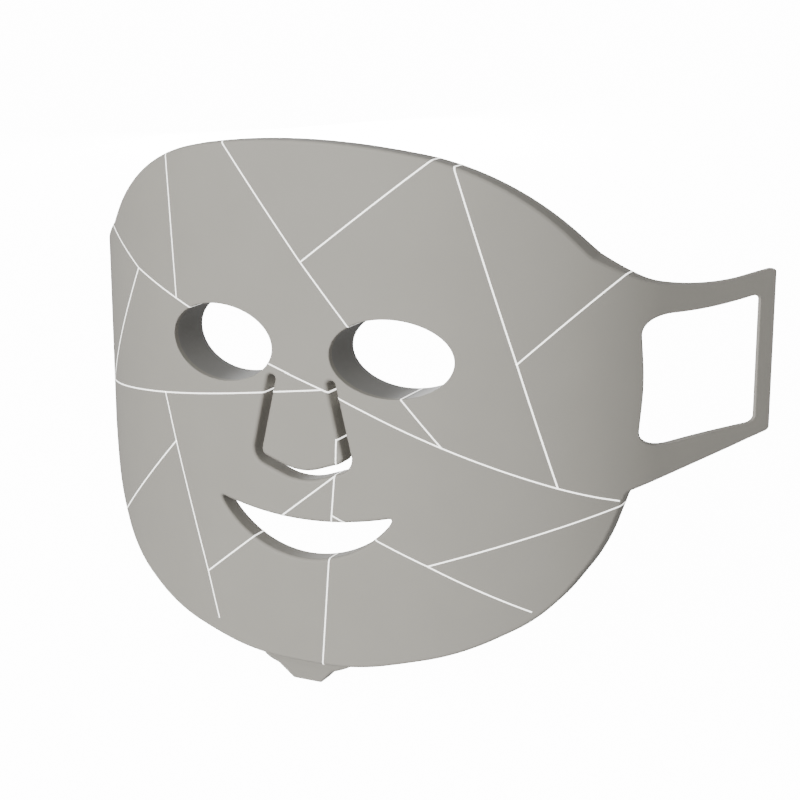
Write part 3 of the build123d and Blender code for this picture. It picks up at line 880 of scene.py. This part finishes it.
class Spot:
    """A place on the sheet, with circles round it at any depth."""

    def __init__(self, centre):
        chip_depth = Surface(BOARD_BACK + CHIP_MIDDLE, -1.0)
        self.side = math.copysign(1.0, centre[0]) if abs(centre[0]) > 1e-6 else 1.0
        self.station = float(np.interp(abs(centre[0]), chip_depth.x, STATIONS))
        x, y, heading = plan(self.station)
        self.z = centre[2]
        self.heading = float(heading)
        self.base = np.array((float(x) * self.side, float(y), self.z))
        self.back = np.array((-self.side * math.sin(heading), math.cos(heading), 0.0))
        self.along = np.array((self.side * math.cos(heading), math.sin(heading), 0.0))

    def ring(self, radius, depth, tilt):
        """A circle's points and normals. tilt is 0 facing the skin, 90 facing outward
        from the centre and -90 facing inward, in degrees."""
        angles = np.linspace(0.0, 2 * math.pi, ROUND_STEPS, endpoint=False)
        spoke = np.cos(angles)[:, None] * self.along
        spoke = spoke + np.sin(angles)[:, None] * np.array((0.0, 0.0, 1.0))
        turn = math.radians(tilt)
        points = self.base + depth * self.back + radius * spoke
        return points, math.cos(turn) * self.back + math.sin(turn) * spoke


def make_liner(name, loops, in_area, spots):
    """Skin-side liner with a round well over each diode."""
    shell = Shell()
    depth = THICKNESS - LINER_SINK
    edges, wells = [], []
    for spot in spots:
        rings = [
            spot.ring(WELL_RADIUS + WELL_LIP, depth, 0),
            spot.ring(WELL_RADIUS + 0.3 * WELL_LIP, depth - 0.3 * WELL_LIP, -45),
            spot.ring(WELL_RADIUS, depth - WELL_LIP, -90),
            spot.ring(WELL_RADIUS, WELL_FLOOR, -90),
        ]
        grid = join_rings(shell, rings)
        edges += pairs(grid[0], closed=True)
        wells.append(shell.flat(grid[0]))

    def keep(points):
        result = in_area(points)
        for well in wells:
            result &= ~inside(well, points)
        return result

    faces = shell.fill(edges, LINER_BACK, keep, loops, spacing=2.8)
    walls_to(shell, faces, edges, Surface(SKIRT_DEPTH, -1.0))
    return shell.make(name)


def make_windows(name, spots):
    """Clear plugs, domed a little towards the skin, one in each well."""
    shell = Shell()
    for spot in spots:
        rings = [spot.ring(0.01, PLUG_FRONT, 180), spot.ring(PLUG_RADIUS, PLUG_FRONT, 180)]
        join_rings(shell, rings)
        join_rings(shell, [spot.ring(PLUG_RADIUS, PLUG_FRONT, 90), spot.ring(PLUG_RADIUS, DOME_EDGE, 90)])
        dome = []
        for k in range(6):
            share = 1 - k / 5
            depth = DOME_TOP - (DOME_TOP - DOME_EDGE) * share**2
            dome.append(spot.ring(max(PLUG_RADIUS * share, 0.01), depth, 12 * share))
        join_rings(shell, dome)
    return shell.make(name)


# ------------------------------------------------------------------ eye shields


def make_shield(side):
    """Oval tube behind an eye hole, with a rounded rear rim."""
    count = 112
    angles = np.linspace(0.0, 2 * math.pi, count, endpoint=False)
    inner = ellipse_loop(side, 0.0, count)
    outer = ellipse_loop(side, COLLAR_WALL, count)
    middle = (inner + outer) / 2
    half = COLLAR_WALL / 2
    rise = np.column_stack((np.cos(angles) / EYE_HALF_WIDTH, np.sin(angles) / EYE_HALF_HEIGHT))
    rise /= np.linalg.norm(rise, axis=1)[:, None]
    spoke = np.column_stack((rise[:, 0], 0.0 * angles, rise[:, 1]))
    backward = np.array((0.0, 1.0, 0.0))
    seat = FLOOR.points(inner)
    end = FRONT.points(middle) + backward * (COLLAR_LENGTH - half)
    shell = Shell()
    rings = []
    for share in np.linspace(0.0, 1.0, 7):
        points = (1 - share) * seat + share * (end - half * spoke)
        points[:, 0] = inner[:, 0]
        points[:, 2] = inner[:, 1]
        rings.append((points, -spoke))
    for k in range(1, 9):
        turn = math.pi * k / 8
        way = -math.cos(turn) * spoke + math.sin(turn) * backward
        rings.append((end + half * way, way))
    rings.append((FRONT.points(outer) + backward * (THICKNESS - SHIELD_OVERLAP), spoke))
    join_rings(shell, rings)
    return shell.make(side_name(side) + "_eye_shield_skin")


# ------------------------------------------------------------------ chin housing

TAB_FRONT_Y = -3.2
TAB_BACK_Y = 2.3
TAB_BEVEL = 0.9
TAB_LEVEL_Z = -113.5
TAB_SLOPE = 0.3
TAB_TUCK = 0.02
TAB_SHOULDER = (13.0, 21.0)
TAB_SHOULDER_SHARE = 0.7
TAB_OUTLINE = [
    (9.0, -108.0, 1.0),
    (21.5, -110.9, 0.0),
    (16.5, -114.0, 2.0),
    (10.85, -116.2, 1.0),
    (5.5, -121.6, 0.8),
]
SOCKET_WIDTH = 8.94
SOCKET_HEIGHT = 3.26
SOCKET_LENGTH = 7.3
TAB_BOTTOM_Z = -121.6


def bake(piece):
    """Apply all modifiers to a piece's mesh."""
    graph = bpy.context.evaluated_depsgraph_get()
    result = bpy.data.meshes.new_from_object(piece.evaluated_get(graph))
    piece.modifiers.clear()
    piece.data = result


def slab(name, loop, axis, low, high):
    """Prism over a closed loop, along one axis (1 for Y, 2 for Z)."""
    box = bmesh.new()
    ring = []
    for a, b in loop:
        place = (a * MM, low * MM, b * MM) if axis == 1 else (a * MM, b * MM, low * MM)
        ring.append(box.verts.new(place))
    face = box.faces.new(ring)
    made = bmesh.ops.extrude_face_region(box, geom=[face])["geom"]
    step = [0.0, 0.0, 0.0]
    step[axis] = (high - low) * MM
    moved = [item for item in made if isinstance(item, bmesh.types.BMVert)]
    bmesh.ops.translate(box, verts=moved, vec=step)
    bmesh.ops.recalc_face_normals(box, faces=box.faces[:])
    mesh = bpy.data.meshes.new(name)
    box.to_mesh(mesh)
    box.free()
    piece = bpy.data.objects.new(name, mesh)
    bpy.context.collection.objects.link(piece)
    return piece


def lean_forward(piece):
    """Move the front of the chin tab out to the front surface, from which it slopes back."""
    for vertex in piece.data.vertices:
        x, y, z = vertex.co / MM
        share = (TAB_BACK_Y - y) / (TAB_BACK_Y - TAB_FRONT_Y)
        front = float(FRONT.points(np.array([(x, z)]))[0][1])
        front += TAB_SLOPE * (TAB_LEVEL_Z - z) if z < TAB_LEVEL_Z else TAB_TUCK * (z - TAB_LEVEL_Z)
        shoulder = float(smooth(abs(x), *TAB_SHOULDER))
        front += TAB_SHOULDER_SHARE * shoulder * (TAB_FRONT_Y - front)
        vertex.co.y = (TAB_BACK_Y + share * (front - TAB_BACK_Y)) * MM


def make_housing():
    """Chin tab with rounded edges and a hole for the socket."""
    piece = slab("inlet_housing_skin", rounded(both_sides(TAB_OUTLINE)), 1, TAB_FRONT_Y, TAB_BACK_Y)
    bevel = piece.modifiers.new("edges", "BEVEL")
    bevel.width = TAB_BEVEL * MM
    bevel.segments = 4
    bevel.limit_method = "ANGLE"
    bevel.angle_limit = math.radians(60)
    bake(piece)
    lean_forward(piece)
    middle = (TAB_FRONT_Y + TAB_BACK_Y) / 2
    half_width = SOCKET_WIDTH / 2
    half_height = SOCKET_HEIGHT / 2
    corner = 0.48 * SOCKET_HEIGHT
    hole = rounded([
        (half_width, half_height, corner),
        (-half_width, half_height, corner),
        (-half_width, -half_height, corner),
        (half_width, -half_height, corner),
    ], step=0.3)
    cutter = slab("socket_cutter", hole + (0.0, middle), 2, TAB_BOTTOM_Z - 2, TAB_BOTTOM_Z + SOCKET_LENGTH)
    cut = piece.modifiers.new("socket", "BOOLEAN")
    cut.operation = "DIFFERENCE"
    cut.solver = "EXACT"
    cut.object = cutter
    bake(piece)
    bpy.data.objects.remove(cutter)
    piece.data.shade_smooth()
    piece.data.set_sharp_from_angle(angle=math.radians(40))
    return piece


# ------------------------------------------------------------------ white lines


def point_normals(piece):
    """The normal of each point of a skin, taken from one of its face corners."""
    mesh = piece.data
    found = {}
    for loop, normal in zip(mesh.loops, mesh.corner_normals):
        found.setdefault(loop.vertex_index, tuple(normal.vector))
    return found


def strip(shell, source, start, end, lift):
    """Part of a skin within half a line's width of a run in the front view, lifted."""
    start, end = np.array(start), np.array(end)
    run = end - start
    length = float(np.linalg.norm(run))
    run = run / length
    side = np.array((-run[1], run[0]))
    half = LINE_WIDTH / 2
    mesh = source.data
    places = np.array([tuple(v.co) for v in mesh.vertices]) / MM
    flat = places[:, (0, 2)] - start
    along, across = flat @ run, flat @ side
    work = bmesh.new()
    layer = work.verts.layers.float_vector.new("facing")
    made = {}
    normal_of = point_normals(source)
    for polygon in mesh.polygons:
        ids = list(polygon.vertices)
        if across[ids].min() > half or across[ids].max() < -half:
            continue
        if along[ids].min() > length + half or along[ids].max() < -half:
            continue
        if np.mean([normal_of[i][1] for i in ids]) > 0.3:
            continue
        for i in ids:
            if i not in made:
                made[i] = work.verts.new(places[i])
                made[i][layer] = normal_of[i]
        work.faces.new([made[i] for i in ids])
    cuts = [
        (start + side * half, side),
        (start - side * half, -side),
        (start - run * half, -run),
        (end + run * half, run),
    ]
    for place, way in cuts:
        parts = work.verts[:] + work.edges[:] + work.faces[:]
        bmesh.ops.bisect_plane(work, geom=parts, dist=1e-5, clear_outer=True,
                               plane_co=(place[0], 0.0, place[1]),
                               plane_no=(way[0], 0.0, way[1]))
    work.verts.index_update()
    points, normals = [], []
    for vertex in work.verts:
        facing = vertex[layer].normalized()
        points.append(vertex.co + facing * lift)
        normals.append(facing)
    numbers = shell.add(points, normals)
    for face in work.faces:
        shell.faces.append(tuple(int(numbers[v.index]) for v in face.verts))
    work.free()


def eye_end(side, start, end):
    """Where a run that starts inside an eye hole comes just outside it, or None."""
    hole = ellipse_loop(side)
    if not inside(hole, np.array([start]))[0]:
        return None
    shares = np.linspace(0.0, 1.0, 400)
    places = np.array(start) + shares[:, None] * (np.array(end) - np.array(start))
    outside = places[~inside(hole, places)][0]
    run = (np.array(end) - np.array(start)) / math.dist(start, end)
    return outside + run * COLLAR_WALL / 2


def make_lines(name, source, lines, shields=()):
    """White lines over a skin, down its rims and along the walls of its openings."""
    shell = Shell()
    number = 0
    for points in lines:
        for start, end in zip(points, points[1:]):
            lift = LINE_PROUD + 0.002 * (number % 7)
            strip(shell, source, start, end, lift)
            for side, shield in shields:
                for near, far in ((start, end), (end, start)):
                    stop = eye_end(side, near, far)
                    if stop is not None:
                        strip(shell, shield, near, stop, lift)
            number += 1
    return shell.make(name)


# ------------------------------------------------------------------ materials


def link(tree, a, b):
    tree.links.new(a, b)


def node(tree, kind, **values):
    made = tree.nodes.new(kind)
    for name, value in values.items():
        if name in made.inputs:
            made.inputs[name].default_value = value
        else:
            setattr(made, name.lower(), value)
    return made


def material(name, colour, roughness, blotch=0.03, blotch_scale=45.0, grain=0.04,
             grain_scale=2600.0, waviness=0.0, **surface):
    """Principled material with a cloudy colour, uneven roughness and fine grain."""
    made = bpy.data.materials.new(name)
    made.use_nodes = True
    tree = made.node_tree
    shader = tree.nodes["Principled BSDF"]
    for socket, value in surface.items():
        shader.inputs[socket.replace("_", " ")].default_value = value
    place = tree.nodes.new("ShaderNodeTexCoord")
    cloud = node(tree, "ShaderNodeTexNoise", Scale=blotch_scale, Detail=4.0)
    link(tree, place.outputs["Object"], cloud.inputs["Vector"])
    ramp = tree.nodes.new("ShaderNodeValToRGB")
    dark = [channel * (1 - blotch) for channel in colour]
    light = [min(1.0, channel * (1 + blotch)) for channel in colour]
    ramp.color_ramp.elements[0].color = (*dark, 1.0)
    ramp.color_ramp.elements[1].color = (*light, 1.0)
    ramp.color_ramp.elements[0].position = 0.3
    ramp.color_ramp.elements[1].position = 0.7
    link(tree, cloud.outputs["Fac"], ramp.inputs["Fac"])
    link(tree, ramp.outputs["Color"], shader.inputs["Base Color"])
    speck = node(tree, "ShaderNodeTexNoise", Scale=grain_scale, Detail=3.0)
    link(tree, place.outputs["Object"], speck.inputs["Vector"])
    gloss = tree.nodes.new("ShaderNodeMapRange")
    gloss.inputs["To Min"].default_value = roughness - 0.05
    gloss.inputs["To Max"].default_value = min(1.0, roughness + 0.05)
    link(tree, speck.outputs["Fac"], gloss.inputs["Value"])
    link(tree, gloss.outputs["Result"], shader.inputs["Roughness"])
    bump = node(tree, "ShaderNodeBump", Strength=grain, Distance=0.0001)
    link(tree, speck.outputs["Fac"], bump.inputs["Height"])
    if waviness:
        wave = node(tree, "ShaderNodeTexNoise", Scale=28.0, Detail=1.0)
        link(tree, place.outputs["Object"], wave.inputs["Vector"])
        swell = node(tree, "ShaderNodeBump", Strength=waviness, Distance=0.002)
        link(tree, wave.outputs["Fac"], swell.inputs["Height"])
        link(tree, swell.outputs["Normal"], bump.inputs["Normal"])
    link(tree, bump.outputs["Normal"], shader.inputs["Normal"])
    return made


GREY = (0.318, 0.305, 0.272)
# The eye shields' grey below is painted shade: their deep walls are the same grey silicone as the cover,
# darkened in colour to stand in for the shade inside the eye holes.
SHADED_WALL_GREY = (0.245, 0.24, 0.228)
LINER_GREY = (0.36, 0.352, 0.338)
WHITE = (0.92, 0.92, 0.9)

MATERIALS = {
    "grey_silicone": material("grey_silicone", GREY, 0.62, 0.018, waviness=0.02,
                              Specular_IOR_Level=0.2, Sheen_Weight=0.08, Sheen_Roughness=0.5),
    # The eye shields' material takes that darker grey, painted shade on the eye walls.
    "shield_silicone": material("shield_silicone", SHADED_WALL_GREY, 0.6, 0.02,
                                Specular_IOR_Level=0.35, Sheen_Weight=0.06),
    "liner_silicone": material("liner_silicone", LINER_GREY, 0.5, 0.02, waviness=0.03,
                               Specular_IOR_Level=0.4, Sheen_Weight=0.1),
    # The white lines' material also glows through its Emission: a painted glow on top of their white,
    # since the lines are no lamp.
    "white_silicone": material("white_silicone", WHITE, 0.55, 0.01, Specular_IOR_Level=0.35,
                               Emission_Color=(1.0, 1.0, 0.97, 1.0), Emission_Strength=2.3),
    "clear_silicone": material("clear_silicone", (0.93, 0.93, 0.92), 0.14, 0.01, grain=0.02,
                               Transmission_Weight=0.92, IOR=1.41),
    "circuit_film": material("circuit_film", (0.42, 0.16, 0.03), 0.35, 0.12, 180.0,
                             Specular_IOR_Level=0.5),
    "red_diode": material("red_diode", (0.75, 0.62, 0.4), 0.3, 0.1, 900.0, Coat_Weight=0.5),
    "infrared_diode": material("infrared_diode", (0.1, 0.11, 0.14), 0.25, 0.1, 900.0,
                               Coat_Weight=0.5),
    "dark_ceramic": material("dark_ceramic", (0.025, 0.025, 0.028), 0.45, 0.2, 700.0),
    "dark_plastic": material("dark_plastic", (0.02, 0.02, 0.021), 0.42, 0.15, 300.0, 0.1),
    "bright_steel": material("bright_steel", (0.62, 0.61, 0.6), 0.24, 0.04, 400.0, 0.06,
                             Metallic=1.0),
    "gilt_contact": material("gilt_contact", (0.83, 0.6, 0.25), 0.22, 0.04, 500.0, 0.06,
                             Metallic=1.0),
}


def dress(piece, slot):
    piece.data.materials.clear()
    piece.data.materials.append(MATERIALS[slot])


# ------------------------------------------------------------------ the pieces

FLEX_OFFSET = 0.5


def place_wing(piece):
    """Bake a wing's placement into its mesh. The sheet's plan just past the wing seam is worked out but
    not used.
    """
    x, y, heading = plan(WING_SEAM + FLEX_OFFSET)
    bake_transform(piece)


def place_flap(piece):
    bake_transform(piece)


face = make_face_cover()
dress(face, "grey_silicone")
flap = make_flap_cover()
dress(flap, "grey_silicone")
wings = {side: make_wing(side) for side in (-1, 1)}
for piece in wings.values():
    dress(piece, "grey_silicone")

shields = {side: make_shield(side) for side in (-1, 1)}

line_sets = [
    ("forehead_lines", face, FOREHEAD_LINES),
    ("cheek_lines", face, CHEEK_LINES),
    ("jaw_lines", face, JAW_LINES),
    ("nose_flap_lines", flap, FLAP_LINES),
]
for cad_node, source, lines in line_sets:
    piece = make_lines(cad_node + "_skin", source, lines, () if source is flap else shields.items())
    dress(piece, "white_silicone")
    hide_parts(cad_node)
    if source is flap:
        place_flap(piece)
    else:
        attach(piece, "mask")

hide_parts("front_cover")
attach(face, "mask")
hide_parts("nose_flap_cover")
place_flap(flap)
for side, piece in wings.items():
    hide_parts(side_name(side) + "_wing")
    place_wing(piece)

for side, piece in shields.items():
    dress(piece, "shield_silicone")
    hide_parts(side_name(side) + "_eye_shield")
    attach(piece, "mask")

diodes = [Spot(c) for c in chip_centres("red_leds") + chip_centres("infrared_leds")]
flap_diodes = [Spot(c) for c in chip_centres("nose_flap_leds")]
hollow_loops, in_hollow = face_hollow_loops()


def in_liner(points):
    """In the hollow and outside the eye shields."""
    result = in_hollow(points)
    for side in (-1, 1):
        result &= ~inside(ellipse_loop(side, COLLAR_WALL), points)
    return result


liner = make_liner("back_liner_skin", hollow_loops, in_liner, diodes)
flap_liner = make_liner("nose_flap_liner_skin", *flap_hollow_loops(), flap_diodes)
windows = make_windows("light_windows_skin", diodes)
flap_windows = make_windows("nose_flap_windows_skin", flap_diodes)
inner_pieces = [
    (liner, "liner_silicone", "back_liner", "mask"),
    (flap_liner, "liner_silicone", "nose_flap_liner", "nose_flap"),
    (windows, "clear_silicone", "light_windows", "mask"),
    (flap_windows, "clear_silicone", "nose_flap_windows", "nose_flap"),
]
for piece, slot, cad_node, body in inner_pieces:
    dress(piece, slot)
    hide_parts(cad_node)
    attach(piece, body)

housing = make_housing()
dress(housing, "grey_silicone")
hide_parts("inlet_housing")
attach(housing, "mask")

KEPT_NODES = {
    "flex_board": "circuit_film",
    "nose_flap_board": "circuit_film",
    "feed_tail": "circuit_film",
    "red_leds": "red_diode",
    "nose_flap_leds": "red_diode",
    "infrared_leds": "infrared_diode",
    "board_resistors": "dark_ceramic",
    "board_clamp": "dark_plastic",
    "inlet_shell": "bright_steel",
    "inlet_tongue": "dark_plastic",
    "inlet_contacts": "gilt_contact",
}
for name, slot in KEPT_NODES.items():
    for material_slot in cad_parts[name].material_slots:
        material_slot.material = MATERIALS[slot]


# ------------------------------------------------------------------ room, light and camera

# lengths in metres
FLOOR_Z = -0.1225
FLOOR_GLOW = 14.0
WORLD_STRENGTH = 0.42
CAMERA_LENS = 82.85
CAMERA_PLACE = (0.2975, -0.5475, 0.1382)
CAMERA_WAY = (-0.4196, 0.8742, -0.2444)


def area_light(name, place, target, size, power, colour=(1.0, 1.0, 1.0)):
    lamp = bpy.data.lights.new(name, "AREA")
    lamp.shape = "DISK"
    lamp.size = size
    lamp.energy = power
    lamp.color = colour
    piece = bpy.data.objects.new(name, lamp)
    piece.location = place
    way = Vector(target) - Vector(place)
    piece.rotation_euler = way.to_track_quat("-Z", "Y").to_euler()
    bpy.context.collection.objects.link(piece)
    return piece


def backdrop():
    """Pale floor that curves up into a wall behind."""
    sweep = bmesh.new()
    profile = [(-3.0, 0.0), (1.6, 0.0)]
    profile += [(1.6 + 0.8 * math.sin(a), 0.8 - 0.8 * math.cos(a))
                for a in np.linspace(0.1, math.pi / 2, 12)]
    profile.append((2.4, 4.0))
    rows = [[sweep.verts.new((x, y, FLOOR_Z + z)) for y, z in profile] for x in (-5.0, 5.0)]
    for k in range(len(profile) - 1):
        sweep.faces.new((rows[0][k], rows[1][k], rows[1][k + 1], rows[0][k + 1]))
    mesh = bpy.data.meshes.new("studio_floor")
    sweep.to_mesh(mesh)
    sweep.free()
    mesh.shade_smooth()
    piece = bpy.data.objects.new("studio_floor", mesh)
    bpy.context.collection.objects.link(piece)
    piece.data.materials.append(material("studio_white", (0.96, 0.96, 0.96), 0.9, 0.005, 3.0, 0.0,
                                         Emission_Color=(1.0, 1.0, 1.0, 1.0),
                                         Emission_Strength=FLOOR_GLOW))
    piece.visible_diffuse = False
    piece.visible_glossy = False
    piece.visible_transmission = False


backdrop()
world = bpy.data.worlds.new("studio")
world.use_nodes = True
world.node_tree.nodes["Background"].inputs["Color"].default_value = (1.0, 1.0, 1.0, 1.0)
world.node_tree.nodes["Background"].inputs["Strength"].default_value = WORLD_STRENGTH
bpy.context.scene.world = world
area_light("key_light", (-0.3, -2.1, 0.5), (0.0, 0.0, 0.0), 1.2, 71.0)
area_light("side_light", (1.5, -0.9, 0.3), (0.05, 0.03, 0.0), 0.9, 0.7, (1.0, 0.93, 0.8))
area_light("back_light", (-0.9, 1.7, 0.06), (0.0, 0.0, 0.0), 0.3, 9.0)

camera_data = bpy.data.cameras.new("camera")
camera_data.lens = CAMERA_LENS
camera_data.sensor_width = 36.0
camera_data.dof.use_dof = False
camera = bpy.data.objects.new("camera", camera_data)
camera.location = CAMERA_PLACE
camera.rotation_euler = Vector(CAMERA_WAY).to_track_quat("-Z", "Y").to_euler()
bpy.context.collection.objects.link(camera)
bpy.context.scene.camera = camera
